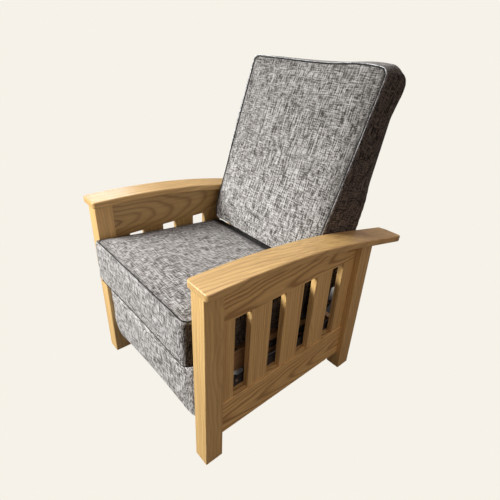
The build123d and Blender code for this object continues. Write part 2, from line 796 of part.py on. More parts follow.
# Footrest: a pad on a plywood board, held by an angled bracket on each side
footrest_face_y = front_y + footrest_set_back
board_y = footrest_face_y + footrest_thick
board_back_y = board_y + board_thick
footrest_mid_z = footrest_low + footrest_high / 2
for side, hand in hands:
    with BuildPart() as bracket:
        end = link_wide / 2
        web_low = (board_back_y + end, bracket_flange_low + end)
        web_high = (board_back_y + end, bracket_flange_low + bracket_flange_high - end)
        points = (footrest_pivot, push_pivot, web_low, web_high)
        holes = (turning(footrest_pivot), fixed(push_pivot))
        plate(side, bracket_in, points, (end,) * len(points), holes)
        flange_middle = (board_back_y + plate_thick / 2, bracket_flange_low + bracket_flange_high / 2)
        flange_size = (plate_thick, bracket_flange_high)
        board(side, bracket_out - bracket_flange_wide, bracket_out, flange_middle, flange_size)
    save(bracket, f"{hand}_footrest_bracket")


def pillow_outline(half_wide, low, high, low_corner, high_corner, pull, inset, forward):
    """A closed outline with rounded corners, whose four sides are drawn in between them."""
    wide = half_wide - inset
    low = low + inset - forward
    high = high - inset
    bend = 1 - 0.5**0.5
    low_in = wide - low_corner
    high_in = wide - high_corner
    low_bend = low_corner * bend
    high_bend = high_corner * bend
    middle = (low + low_corner + high - high_corner) / 2
    ThreePointArc((-low_in, low), (0, low + pull), (low_in, low))
    ThreePointArc((low_in, low), (wide - low_bend, low + low_bend), (wide, low + low_corner))
    ThreePointArc((wide, low + low_corner), (wide - pull, middle), (wide, high - high_corner))
    ThreePointArc((wide, high - high_corner), (wide - high_bend, high - high_bend), (high_in, high))
    ThreePointArc((high_in, high), (0, high - pull), (-high_in, high))
    ThreePointArc((-high_in, high), (high_bend - wide, high - high_bend), (-wide, high - high_corner))
    ThreePointArc((-wide, high - high_corner), (pull - wide, middle), (-wide, low + low_corner))
    ThreePointArc((-wide, low + low_corner), (low_bend - wide, low + low_bend), (-low_in, low))


def pillow(plane, levels, half_wide, low, high, low_corner, high_corner, pull):
    """Lofts drawn-in outlines: each level has a height, an inset and a reach past the low edge."""
    faces = []
    for height, inset, forward in levels:
        with BuildSketch(plane.offset(height)) as level:
            with BuildLine():
                pillow_outline(half_wide, low, high, low_corner, high_corner, pull, inset, forward)
            make_face()
        faces.append(level.sketch.face())
    loft(faces, ruled=True)


# Levels of a cushion, bottom to top, as shares of its thickness, tuck and bulge
seat_low_share = ((0.0, 1.0, 0.0), (0.03, 0.4, 0.4), (0.1, 0.05, 0.8), (0.5, 0.3, 1.0))
seat_high_share = ((0.9, 0.0, 0.8), (0.96, 0.2, 0.5), (0.985, 0.6, 0.2))
crown_share = ((0.0, 0.0), (0.45, 0.1), (0.8, 0.3), (1.0, 0.62))
seat_crown_run = seat_half_wide - seat_corner
seat_lean = tan(radians(seat_fall))

with BuildPart() as cushion:
    size = (seat_half_wide, 0, seat_deep, seat_corner, seat_corner, seat_pull)
    levels = []
    for up, tuck, bulge in seat_low_share + seat_high_share:
        height = seat_thick * up
        levels.append((height, seat_tuck * tuck, seat_bulge * bulge + height * seat_lean))
    pillow(deck_plane, levels, *size)
    height, inset, forward = levels[-1]
    crown = [(height + seat_crown * up, inset + seat_crown_run * run, forward) for up, run in crown_share]
    pillow(deck_plane, crown, *size)
    plug_front = seat_rail_front + seat_cross_thick + plug_gap
    plug_long = seat_deep - plug_inset - plug_front
    with BuildSketch(deck_plane):
        with Locations((0, plug_front + plug_long / 2)):
            Rectangle(2 * (seat_half_wide - plug_inset), plug_long)
    extrude(amount=-plug_deep)
save(cushion, "seat_cushion")

# The footrest's board and pad, seen from the front: x across, height above the floor
front_plane = Plane(origin=(0, board_y, 0), x_dir=(1, 0, 0), z_dir=(0, -1, 0))
with BuildPart() as footrest_board:
    board_wide = 2 * (footrest_half_wide - board_margin)
    with BuildSketch(front_plane):
        with Locations((0, footrest_mid_z)):
            RectangleRounded(board_wide, footrest_high - 2 * board_edge, board_corner)
    extrude(amount=-board_thick)
save(footrest_board, "footrest_board")

pad_side_share = ((0.0, 1.0), (0.2, 0.2), (0.5, 0.0), (0.8, 0.2), (0.97, 1.2))
pad_crown_run = (footrest_high - footrest_corner) / 2
with BuildPart() as pad:
    corners = (footrest_corner, footrest_top_corner)
    size = (footrest_half_wide, footrest_low, footrest_low + footrest_high, *corners, footrest_pull)
    levels = [(soft_gap + footrest_thick * up, footrest_pull * tuck, 0) for up, tuck in pad_side_share]
    pillow(front_plane, levels, *size)
    height, inset, forward = levels[-1]
    crown = [(height + footrest_crown * up, inset + pad_crown_run * run, 0) for up, run in crown_share]
    pillow(front_plane, crown, *size)
save(pad, "footrest_pad")

# Back: front face and rear face lean by different angles
front_lean = radians(back_lean)
rear_lean = radians(back_rear_lean)
back_front_y = front_y + back_front_set
back_rear_y = front_y + back_rear_set
face_plane = Plane(
    origin=(0, back_front_y, back_front_rise), x_dir=(1, 0, 0), z_dir=(0, -cos(front_lean), sin(front_lean))
)


def front_at(z):
    return back_front_y + (z - back_front_rise) * tan(front_lean)


def rear_at(z, depth=0):
    """The y of the rear face at this height, or of a line this deep inside it."""
    return back_rear_y + (z - back_rear_rise) * tan(rear_lean) - depth / cos(rear_lean)


def rear_strip(low, high, depths):
    """Corners of a strip between two depths inside the rear face."""
    places = ((low, depths[0]), (high, depths[0]), (high, depths[1]), (low, depths[1]))
    return [(rear_at(z, depth), z) for z, depth in places]


def back_outline(half_low, inset, deep):
    """The back square to its front face, this deep behind it: narrow between the arms."""
    arm = back_half_arm - inset
    wide = back_half_high - inset
    bottom = (back_low - back_front_rise - back_reach) / cos(front_lean)
    high = (back_front_top - back_front_rise) / cos(front_lean) - inset
    high += deep * tan(front_lean + radians(back_top_rise))
    shoulder = high - back_corner
    bend = back_corner * (1 - 0.5**0.5)
    middle = (back_half_mid - inset, back_arm_at + (shoulder - back_arm_at) * back_mid_share)
    Polyline((-arm, back_arm_at), (-half_low, bottom), (half_low, bottom), (arm, back_arm_at))
    ThreePointArc((arm, back_arm_at), middle, (wide, shoulder))
    ThreePointArc((wide, shoulder), (wide - bend, high - bend), (wide - back_corner, high))
    ThreePointArc((wide - back_corner, high), (0, high - back_pull), (back_corner - wide, high))
    ThreePointArc((back_corner - wide, high), (bend - wide, high - bend), (-wide, shoulder))
    ThreePointArc((-wide, shoulder), (-middle[0], middle[1]), (-arm, back_arm_at))


def back_loft(levels):
    """Lofts outlines of the back: each level has a height, its lower half width and an inset."""
    faces = []
    for height, half_low, inset in levels:
        with BuildSketch(face_plane.offset(height)) as level:
            with BuildLine():
                back_outline(half_low, inset, max(-height, 0))
            make_face()
        faces.append(level.sketch.face())
    loft(faces, ruled=True)


back_room = back_rear_set - back_front_set + back_top_round
back_crown_run = back_half_low - back_corner
with BuildPart() as back:
    low_front = back_half_low - back_edge_inset
    levels = ((-back_room, back_half_arm, 0), (-back_edge, back_half_low, 0), (0, low_front, back_edge_inset))
    back_loft(levels)
    crown = []
    for up, run in crown_share:
        inward = back_crown_run * run
        crown.append((back_crown * up, low_front - inward, back_edge_inset + inward))
    back_loft(crown)
    with BuildSketch(Plane.YZ):
        with BuildLine():
            heel = front_y + back_heel
            chin = (front_y + back_chin_set - 2 * back_crown, back_chin)
            crest = (front_at(back_front_top) - 2 * back_crown, back_front_top)
            top_z = back_front_top + (rear_at(back_front_top) - crest[0]) * tan(radians(back_top_rise))
            heel_top = (heel, back_chin - back_chin_fall)
            rear = ((rear_at(top_z), top_z), (rear_at(back_low), back_low))
            radii = (back_front_round, back_edge, back_top_round, back_edge, back_edge, back_front_round)
            FilletPolyline(chin, crest, *rear, (heel, back_low), heel_top, radius=radii, close=True)
        make_face()
    extrude(amount=back_half_high + overrun, both=True, mode=Mode.INTERSECT)
    for half, depths, high in (
        (pocket_half_wide, (-overrun, pocket_deep), pocket_top),
        (pocket_half_wide + cover_lap, (-overrun, cover_deep), pocket_top + cover_lap),
    ):
        with BuildSketch(Plane.YZ):
            with BuildLine():
                Polyline(*rear_strip(back_low - overrun, high, depths), close=True)
            make_face()
        extrude(amount=half, both=True, mode=Mode.SUBTRACT)
save(back, "back_cushion")

with BuildPart() as cover:
    with BuildSketch(Plane.YZ):
        with BuildLine():
            high = pocket_top + cover_lap - soft_gap
            strip = rear_strip(back_low + cover_lap, high, (soft_gap, cover_deep - soft_gap))
            Polyline(*strip, close=True)
        make_face()
    extrude(amount=pocket_half_wide + cover_lap - soft_gap, both=True)
save(cover, "back_cover")

# Wooden frame inside the back
frame_front = cover_deep + stile_deep
with BuildPart() as stiles:
    for side, hand in hands:
        with BuildSketch(Plane.YZ.offset(side * (back_plate_in - stile_wide))):
            with BuildLine():
                strip = rear_strip(stile_low, pocket_top - stile_margin, (cover_deep, frame_front))
                Polyline(*strip, close=True)
            make_face()
        extrude(amount=side * stile_wide)
save(stiles, "back_stiles")

with BuildPart() as rails:
    for share in back_rail_share:
        low = stile_low + (pocket_top - stile_margin - back_rail_high - stile_low) * share
        with BuildSketch(Plane.YZ):
            with BuildLine():
                strip = rear_strip(low, low + back_rail_high, (cover_deep, cover_deep + back_rail_deep))
                Polyline(*strip, close=True)
            make_face()
        extrude(amount=back_plate_in - stile_wide, both=True)
save(rails, "back_rails")

# Steel brackets on the stiles, down to the back's pivot
with BuildPart() as brackets:
    bracket_depth = cover_deep + bracket_wide / 2 + plate_gap
    bracket_top_z = back_pivot_rise + bracket_long
    bracket_top = (rear_at(bracket_top_z, bracket_depth), bracket_top_z)
    for side, hand in hands:
        holes = (turning(back_pivot, swing_pin_radius),)
        plate(side, back_plate_in, (back_pivot, bracket_top), (link_boss, link_boss), holes)
save(brackets, "back_brackets")
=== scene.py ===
import math

import bmesh
import bpy
import numpy as np
from mathutils import Matrix, Vector
from mathutils.bvhtree import BVHTree


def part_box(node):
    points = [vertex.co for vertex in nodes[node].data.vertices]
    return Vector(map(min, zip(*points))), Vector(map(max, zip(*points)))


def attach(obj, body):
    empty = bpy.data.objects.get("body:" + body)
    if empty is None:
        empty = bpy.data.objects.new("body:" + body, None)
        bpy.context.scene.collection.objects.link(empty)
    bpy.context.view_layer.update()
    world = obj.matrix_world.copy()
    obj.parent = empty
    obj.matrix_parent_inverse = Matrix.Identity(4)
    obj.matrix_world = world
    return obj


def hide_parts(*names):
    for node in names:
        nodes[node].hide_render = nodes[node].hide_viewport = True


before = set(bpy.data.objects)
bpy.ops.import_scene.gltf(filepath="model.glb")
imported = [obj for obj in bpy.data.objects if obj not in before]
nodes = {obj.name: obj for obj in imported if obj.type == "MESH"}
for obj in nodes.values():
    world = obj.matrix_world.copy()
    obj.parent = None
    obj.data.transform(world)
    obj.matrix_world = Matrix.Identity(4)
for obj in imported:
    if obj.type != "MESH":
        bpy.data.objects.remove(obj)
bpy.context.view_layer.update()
scene = bpy.context.scene

# The front of the front legs, from which the depths below are counted
front_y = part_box("left_front_leg")[0].y

# How far the seat falls to the rear, and how far the back's front and rear faces lean
fall = math.radians(6.2)
lean_back = math.radians(19.8)
rear_lean = math.radians(12.5)


# ---------------------------------------------------------------- node helpers

class Tree:
    """A material's node tree, with short calls for the nodes that are used here."""

    def __init__(self, name):
        self.material = bpy.data.materials.new(name)
        self.material.use_nodes = True
        self.tree = self.material.node_tree
        self.tree.nodes.clear()
        self.shader = self.tree.nodes.new("ShaderNodeBsdfPrincipled")
        self.output = self.tree.nodes.new("ShaderNodeOutputMaterial")
        self.join(self.shader.outputs["BSDF"], self.output.inputs["Surface"])

    def join(self, source, target):
        self.tree.links.new(source, target)

    def feed(self, socket, value):
        """Joins a socket to another one, or sets it to a number. None leaves it as it is."""
        if isinstance(value, bpy.types.NodeSocket):
            self.join(value, socket)
        elif value is not None:
            socket.default_value = value

    def coords(self, kind="Object"):
        return self.tree.nodes.new("ShaderNodeTexCoord").outputs[kind]

    def mapping(self, vector, location=(0, 0, 0), rotation=(0, 0, 0)):
        node = self.tree.nodes.new("ShaderNodeMapping")
        self.feed(node.inputs["Vector"], vector)
        node.inputs["Location"].default_value = location
        node.inputs["Rotation"].default_value = rotation
        return node.outputs["Vector"]

    def noise(self, vector, scale=1.0, detail=2.0, roughness=0.5, distortion=0.0):
        node = self.tree.nodes.new("ShaderNodeTexNoise")
        self.feed(node.inputs["Vector"], vector)
        node.inputs["Scale"].default_value = scale
        node.inputs["Detail"].default_value = detail
        node.inputs["Roughness"].default_value = roughness
        node.inputs["Distortion"].default_value = distortion
        return node.outputs["Fac"]

    def math(self, operation, first, second=None, third=None, clamp=False):
        node = self.tree.nodes.new("ShaderNodeMath")
        node.operation = operation
        node.use_clamp = clamp
        for socket, value in zip(node.inputs, (first, second, third)):
            self.feed(socket, value)
        return node.outputs[0]

    def vector(self, operation, first, second=None):
        node = self.tree.nodes.new("ShaderNodeVectorMath")
        node.operation = operation
        self.feed(node.inputs[0], first)
        self.feed(node.inputs[1], second)
        return node.outputs["Value"] if operation == "LENGTH" else node.outputs["Vector"]

    def combine(self, x, y, z):
        node = self.tree.nodes.new("ShaderNodeCombineXYZ")
        for socket, value in zip(node.inputs, (x, y, z)):
            self.feed(socket, value)
        return node.outputs[0]

    def separate(self, vector):
        node = self.tree.nodes.new("ShaderNodeSeparateXYZ")
        self.feed(node.inputs[0], vector)
        return node.outputs

    def ramp(self, value, stops):
        """Colours between stops, each of them a place and a colour."""
        node = self.tree.nodes.new("ShaderNodeValToRGB")
        self.feed(node.inputs[0], value)
        elements = node.color_ramp.elements
        while len(elements) < len(stops):
            elements.new(0.5)
        for element, (place, colour) in zip(elements, stops):
            element.position = place
            element.color = (*colour, 1)
        return node.outputs["Color"]

    def mix(self, factor, first, second, blend="MIX"):
        node = self.tree.nodes.new("ShaderNodeMix")
        node.data_type = "RGBA"
        node.blend_type = blend
        self.feed(node.inputs[0], factor)
        for socket, value in zip((node.inputs[6], node.inputs[7]), (first, second)):
            if isinstance(value, tuple):
                value = (*value, 1)
            self.feed(socket, value)
        return node.outputs[2]

    def range(self, value, low, high, to_low=0.0, to_high=1.0, smooth=False):
        """A value between low and high, moved to lie between to_low and to_high."""
        node = self.tree.nodes.new("ShaderNodeMapRange")
        node.interpolation_type = "SMOOTHSTEP" if smooth else "LINEAR"
        for socket, item in zip(node.inputs[:5], (value, low, high, to_low, to_high)):
            self.feed(socket, item)
        return node.outputs[0]

    def attribute(self, name):
        node = self.tree.nodes.new("ShaderNodeAttribute")
        node.attribute_name = name
        return node.outputs["Fac"]

    def bump(self, height, distance, strength=1.0):
        node = self.tree.nodes.new("ShaderNodeBump")
        node.inputs["Strength"].default_value = strength
        node.inputs["Distance"].default_value = distance
        self.feed(node.inputs["Height"], height)
        self.join(node.outputs["Normal"], self.shader.inputs["Normal"])

    def set(self, **values):
        """Sets or joins the shader's sockets, with _ for each space in their names."""
        for name, value in values.items():
            socket = self.shader.inputs[name.replace("_", " ")]
            if isinstance(value, tuple) and len(value) == 3:
                value = (*value, 1)
            self.feed(socket, value)


# Turns that lay the grain along x
GRAIN_TURN = {"x": (0, 0, 0), "y": (0, 0, -math.pi / 2), "z": (0, math.pi / 2, 0)}


def scaled(colour, factor):
    return tuple(c * factor for c in colour)


def wood(name, grain, heart, tilt=(0.0, 0.0), early=(0.79, 0.535, 0.215), late=(0.33, 0.175, 0.06),
         spacing=0.0065, wander=0.012, figure=1.0, gloss=0.4, tone=1.0):
    """Solid wood: growth rings round a heart line that runs along the grain, fibres and fine open pores.

    heart and tilt place that line, spacing is from ring to ring, wander how far the rings sway, figure how
    strong they are, and tone how light the board is.
    """
    t = Tree(name)
    early, late = (tuple(min(0.95, c * tone) for c in colour) for colour in (early, late))
    along = t.mapping(t.coords(), rotation=GRAIN_TURN[grain])
    placed = t.mapping(along, location=(0, -heart[0], -heart[1]), rotation=(0, tilt[0], tilt[1]))
    sway = t.noise(t.vector("MULTIPLY", along, (2.3, 5.0, 5.0)), 1.0, 2.0, 0.45)
    sway2 = t.noise(t.vector("MULTIPLY", along, (3.4, 4.6, 4.6)), 1.7, 2.0, 0.5)
    x, y, z = t.separate(placed)
    y = t.math("MULTIPLY_ADD", t.math("SUBTRACT", sway, 0.5), wander * 3.0, y)
    z = t.math("MULTIPLY_ADD", t.math("SUBTRACT", sway2, 0.5), wander * 3.0, z)
    far = t.vector("LENGTH", t.combine(0.0, y, z))
    shiver = t.noise(t.vector("MULTIPLY", along, (14.0, 160.0, 160.0)), 1.0, 2.0, 0.5)
    rings = t.math("MULTIPLY_ADD", shiver, 0.3, t.math("DIVIDE", far, spacing))
    ring = t.math("FRACT", rings)
    # Late wood darkens slowly and ends sharply, and some years are stronger than others
    year = t.noise(t.combine(0.0, 0.0, t.math("FLOOR", rings)), 3.7, 0.0)
    profile = ((0.0, 0.8), (0.12, 0.1), (0.5, 0.0), (0.72, 0.3), (0.88, 1.0))
    band = t.ramp(ring, [(place, (dark,) * 3) for place, dark in profile])
    band = t.math("MULTIPLY", band, t.range(year, 0.3, 0.7, 0.4 * figure, 1.2 * figure), clamp=True)
    colour = t.mix(band, early, late)
    fibre = t.noise(t.vector("MULTIPLY", along, (7.0, 420.0, 420.0)), 1.0, 3.0, 0.6)
    colour = t.mix(t.range(fibre, 0.35, 0.7, 0.0, 0.3), colour, late)
    streak = t.noise(t.vector("MULTIPLY", along, (3.0, 120.0, 120.0)), 1.0, 2.0, 0.5)
    colour = t.mix(t.range(streak, 0.4, 0.68, 0.0, 0.42), colour, late)
    drift = t.noise(t.vector("MULTIPLY", along, (1.3, 6.0, 6.0)), 1.0, 2.0, 0.5)
    pale = tuple(c * f for c, f in zip(early, (1.1, 1.1, 1.05)))
    colour = t.mix(t.range(drift, 0.35, 0.7, 0.0, 0.3), colour, pale)
    pore = t.noise(t.vector("MULTIPLY", along, (55.0, 1500.0, 1500.0)), 1.0, 1.0, 0.5)
    pores = t.math("MULTIPLY", t.range(pore, 0.6, 0.68), t.range(ring, 0.0, 0.45, 0.9, 0.15))
    colour = t.mix(t.math("MULTIPLY", pores, 0.5), colour, scaled(late, 0.45))
    t.set(Base_Color=colour)
    t.set(Roughness=t.range(fibre, 0.3, 0.7, gloss - 0.05, gloss + 0.07))
    t.set(Coat_Weight=0.2, Coat_Roughness=0.28)
    height = t.math("SUBTRACT", t.math("MULTIPLY", fibre, 0.5), t.math("MULTIPLY", pores, 0.9))
    t.bump(height, 0.00012, 0.6)
    return t.material


# Yarns: the axis that they run along, cells per metre along and across it, and their share of the colour
YARNS = ((0, 50.0, 520.0, 0.23), (1, 50.0, 480.0, 0.23), (2, 46.0, 440.0, 0.27),
         (0, 22.0, 780.0, 0.2), (1, 22.0, 720.0, 0.2), (2, 20.0, 680.0, 0.23))


def tweed(name, turn=0.0, light=(0.6, 0.59, 0.575), mid=(0.27, 0.255, 0.24), dark=(0.035, 0.03, 0.026),
          contrast=1.0, tone=(1.0, 1.03, 1.06), side=(0.36, 0.3, 0.25)):
    """Heather cloth: slubby yarns that cross, with light and dark fibres mixed in each.

    turn lays the yarns along a leaning face and tone tints the whole cloth; side is the colour of painted
    shade on the boxing. The mesh's attributes darken it with painted shade: broad shade where the light falls
    off, the boxing on the shaded sides, and the seams.
    """
    t = Tree(name)
    p = t.mapping(t.coords(), rotation=(turn, 0, 0))
    # Yarns show only on the faces that they run along
    facing = t.mapping(t.coords("Normal"), rotation=(turn, 0, 0))
    flat = [t.math("SUBTRACT", 1.0, t.math("MULTIPLY", part, part)) for part in t.separate(facing)]
    yarn = 0.0
    for axis, long, fine, share in YARNS:
        scale = tuple(long if axis == item else fine for item in range(3))
        streak = t.noise(t.vector("MULTIPLY", p, scale), 1.0, 0.0, 0.6)
        streak = t.math("MULTIPLY", t.math("SUBTRACT", streak, 0.5), flat[axis])
        yarn = t.math("MULTIPLY_ADD", streak, share, yarn)
    fleck = t.noise(p, 520.0, 0.0, 0.6)
    yarn = t.math("MULTIPLY_ADD", t.math("SUBTRACT", fleck, 0.5), 0.06, yarn)
    # The yarns stand out more on the boxing, which is darkened below as painted shade
    yarn = t.math("MULTIPLY", yarn, t.range(t.attribute("boxing"), 0.0, 1.0, 1.0, 3.0))
    ribs = [t.math("SINE", value) for value in t.separate(t.vector("MULTIPLY", p, (2700.0,) * 3))]
    weave = t.math("MULTIPLY", ribs[2], ribs[0])
    weave = t.math("MULTIPLY_ADD", ribs[1], ribs[2], weave)
    weave = t.math("MULTIPLY_ADD", ribs[0], ribs[1], weave)
    heather = t.math("MULTIPLY_ADD", yarn, contrast, t.math("MULTIPLY_ADD", weave, 0.012, 0.5))
    colour = t.ramp(heather, [(0.42, dark), (0.475, scaled(mid, 0.55)),
                              (0.515, scaled(mid, 1.2)), (0.57, light)])
    cloudy = t.noise(p, 9.0, 2.0, 0.5)
    colour = t.mix(t.range(cloudy, 0.3, 0.7, 0.0, 0.1), colour, scaled(mid, 1.25))
    colour = t.mix(1.0, colour, tone, "MULTIPLY")
    # Painted shade: broad shade where the light falls off, the shaded sides of the boxing, and the seams
    colour = t.mix(t.attribute("nap"), colour, (0.5, 0.49, 0.475), "MULTIPLY")
    colour = t.mix(t.attribute("boxing"), colour, side, "MULTIPLY")
    colour = t.mix(t.attribute("crease"), colour, (0.06, 0.05, 0.045), "MULTIPLY")
    t.set(Base_Color=colour, Roughness=0.95, Specular_IOR_Level=0.12)
    t.set(Sheen_Weight=0.1, Sheen_Roughness=0.45)
    t.bump(t.math("MULTIPLY_ADD", weave, 0.05, yarn), 0.0016, 0.6)
    return t.material


def metal(name, colour, roughness, metallic=1.0):
    """Plain steel, plated or painted, with faint scratches and uneven gloss."""
    t = Tree(name)
    p = t.coords()
    worn = t.noise(t.vector("MULTIPLY", p, (40.0, 25.0, 700.0)), 1.0, 2.0, 0.6)
    cloud = t.noise(p, 22.0, 3.0, 0.6)
    pale = tuple(min(1.0, c * 1.5 + 0.01) for c in colour)
    base = t.mix(t.range(cloud, 0.3, 0.75, 0.0, 0.5), colour, pale)
    t.set(Base_Color=base, Metallic=metallic)
    t.set(Roughness=t.range(worn, 0.3, 0.7, roughness - 0.08, roughness + 0.1))
    t.bump(worn, 0.00005, 0.5)
    return t.material


def webbing(name, colour):
    """Coarse woven strap."""
    t = Tree(name)
    x, y, z = t.separate(t.coords())
    warp = t.math("SINE", t.math("MULTIPLY", x, 2600.0))
    weft = t.math("SINE", t.math("MULTIPLY", y, 2600.0))
    weave = t.math("MULTIPLY", warp, weft)
    base = t.mix(t.range(weave, -1.0, 1.0, 0.0, 0.7), colour, scaled(colour, 2.4))
    t.set(Base_Color=base, Roughness=0.85)
    t.bump(weave, 0.0004, 0.7)
    return t.material


def plain_cloth(name, colour):
    """Thin dark cloth, woven along the lean of the back's rear face."""
    t = Tree(name)
    p = t.mapping(t.coords(), rotation=(rear_lean, 0, 0))
    x, y, z = t.separate(p)
    warp = t.math("SINE", t.math("MULTIPLY", x, 4200.0))
    weft = t.math("SINE", t.math("MULTIPLY", z, 4200.0))
    weave = t.math("MULTIPLY", warp, weft)
    cloud = t.noise(p, 40.0, 3.0, 0.6)
    base = t.mix(t.range(cloud, 0.3, 0.7, 0.0, 0.5), colour, scaled(colour, 1.4))
    base = t.mix(t.range(weave, -1.0, 1.0, 0.0, 0.35), base, scaled(colour, 0.55))
    t.set(Base_Color=base, Roughness=0.9, Sheen_Weight=0.1)
    t.bump(weave, 0.0002, 0.6)
    return t.material


def plywood(name):
    """A board of thin plies that lie one behind the other."""
    t = Tree(name)
    p = t.coords()
    plies = t.math("SINE", t.math("MULTIPLY", t.separate(p)[1], 2100.0))
    grain = t.noise(t.vector("MULTIPLY", p, (5.0, 90.0, 60.0)), 1.0, 4.0, 0.6, 0.4)
    base = t.mix(t.range(grain, 0.35, 0.7), (0.5, 0.36, 0.2), (0.36, 0.23, 0.12))
    base = t.mix(t.range(plies, 0.2, 0.8, 0.0, 0.25), base, (0.26, 0.16, 0.08))
    t.set(Base_Color=base, Roughness=0.62)
    t.bump(grain, 0.0002, 0.5)
    return t.material


def dress(name, material):
    """Gives a CAD object this material and no other."""
    slots = nodes[name].data.materials
    slots.clear()
    slots.append(material)


# ---------------------------------------------------------------- materials of the frame

# Grain axis, the log's heart as two distances off the piece's middle, the tilt that makes cathedral figure,
# the distance between the rings, the strength of the figure and how light the board is. A name without a
# side stands for the pieces of both sides.
FIGURES = {
    "front_leg": ("z", (0.05, -0.075), (0.012, 0.03), 0.0085, 0.45, 0.98),
    "rear_leg": ("z", (-0.06, 0.07), (0.015, -0.012), 0.0075, 0.55, 1.0),
    "left_top_rail": ("y", (0.03, -0.03), (0.05, 0.05), 0.0085, 1.5, 1.14),
    # The right top rail's low tone is painted shade as well
    "right_top_rail": ("y", (0.0975, 0.0), (0.03, 0.19), 0.0135, 1.0, 0.68),
    "bottom_rail": ("y", (0.04, -0.012), (0.02, 0.06), 0.0088, 1.1, 1.2),
    "slats": ("z", (0.09, 0.05), (0.01, 0.02), 0.008, 0.5, 1.12),
    "end_stiles": ("z", (0.08, -0.06), (0.012, 0.02), 0.0075, 0.5, 1.06),
    "armrest": ("y", (0.11, -0.045), (0.012, 0.045), 0.0105, 0.55, 0.96),
}
# Boards of the right side darkened as painted shade, for the shade that falls on the far side frame
PAINTED_SHADE_TONES = {"right_slats": 0.72, "right_end_stiles": 0.72, "right_armrest": 0.92}
# Boards that hardly show, and their grain
PLAIN = {"arm_dowels": "z", "front_stretcher": "x", "rear_stretcher": "x", "left_seat_rail": "y",
         "right_seat_rail": "y", "front_seat_rail": "x", "rear_seat_rail": "x", "back_stiles": "z",
         "back_rails": "x"}


def off_grain(name, grain):
    """A piece's middle along the two axes across the grain, once the grain is turned to run along x."""
    low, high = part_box(name)
    middle = (low + high) / 2
    return {"x": (middle.y, middle.z), "y": (-middle.x, middle.z), "z": (middle.y, -middle.x)}[grain]


for side, mirror in (("left", 1), ("right", -1)):
    for kind, (grain, heart, tilt, spacing, figure, tone) in FIGURES.items():
        if kind.startswith(("left_", "right_")) and not kind.startswith(side):
            continue
        name = kind if kind.startswith(side) else f"{side}_{kind}"
        tone *= PAINTED_SHADE_TONES.get(name, 1.0)
        across = off_grain(name, grain)
        place = (across[0] + heart[0] * mirror, across[1] + heart[1])
        dress(name, wood(f"ash_{name}", grain, place, tilt, spacing=spacing, figure=figure, tone=tone))
for name, grain in PLAIN.items():
    across = off_grain(name, grain)
    dress(name, wood(f"plain_{name}", grain, (across[0] + 0.05, across[1] + 0.02), (0.01, 0.02),
                     early=(0.46, 0.28, 0.13), late=(0.3, 0.165, 0.07), gloss=0.6))
dress("footrest_board", plywood("plywood"))

PAINTED = ("base_plate", "hanger", "link_plate", "footrest_bracket", "back_brackets")
PLATED = ("swing_links", "drive_link", "follower_link", "carrier", "push_link", "pins", "screws", "bolts",
          "cross_rod")
black = metal("black_steel", (0.02, 0.024, 0.03), 0.42, metallic=0.0)
zinc = metal("zinc_steel", (0.42, 0.43, 0.44), 0.34)
for name in nodes:
    if any(part in name for part in PAINTED):
        dress(name, black)
    elif any(part in name for part in PLATED):
        dress(name, zinc)
band = webbing("strap_webbing", (0.03, 0.028, 0.026))
for name in ("lengthwise_straps", "crosswise_straps"):
    dress(name, band)
dress("back_cover", plain_cloth("cover_cloth", (0.05, 0.044, 0.038)))


# ---------------------------------------------------------------- mesh helpers

def link(obj):
    """Puts a new object into the scene."""
    scene.collection.objects.link(obj)
    return obj


def apply_modifiers(obj):
    """The mesh that the modifiers make becomes the object's own."""
    graph = bpy.context.evaluated_depsgraph_get()
    made = bpy.data.meshes.new_from_object(obj.evaluated_get(graph))
    obj.modifiers.clear()
    old = obj.data
    obj.data = made
    bpy.data.meshes.remove(old)


def coordinates(mesh):
    """The mesh's points, one row each."""
    co = np.empty(len(mesh.vertices) * 3)
    mesh.vertices.foreach_get("co", co)
    return co.reshape(-1, 3)


def set_coordinates(mesh, co):
    mesh.vertices.foreach_set("co", co.astype(np.float32).ravel())
    mesh.update()


def normals_of(obj):
    return np.array([v.normal for v in obj.data.vertices])


def smooth_step(low, high, value):
    """0 to 1 between two values, and 1 to 0 where the first is the higher."""
    t = np.clip((value - low) / (high - low), 0, 1)
    return t * t * (3 - 2 * t)


def remeshed(node, name, voxel, rounds):
    """A copy of a CAD cushion as an even mesh with softened edges."""
    obj = link(bpy.data.objects.new(name, nodes[node].data.copy()))
    obj.data.materials.clear()
    work = bmesh.new()
    work.from_mesh(obj.data)
    bmesh.ops.remove_doubles(work, verts=work.verts, dist=0.00002)
    work.to_mesh(obj.data)
    work.free()
    remesh = obj.modifiers.new("even", "REMESH")
    remesh.mode = "VOXEL"
    remesh.voxel_size = voxel
    smooth = obj.modifiers.new("ease", "SMOOTH")
    smooth.factor = 0.5
    smooth.iterations = rounds
    apply_modifiers(obj)
    return obj


CLOTH_STEPS = 20


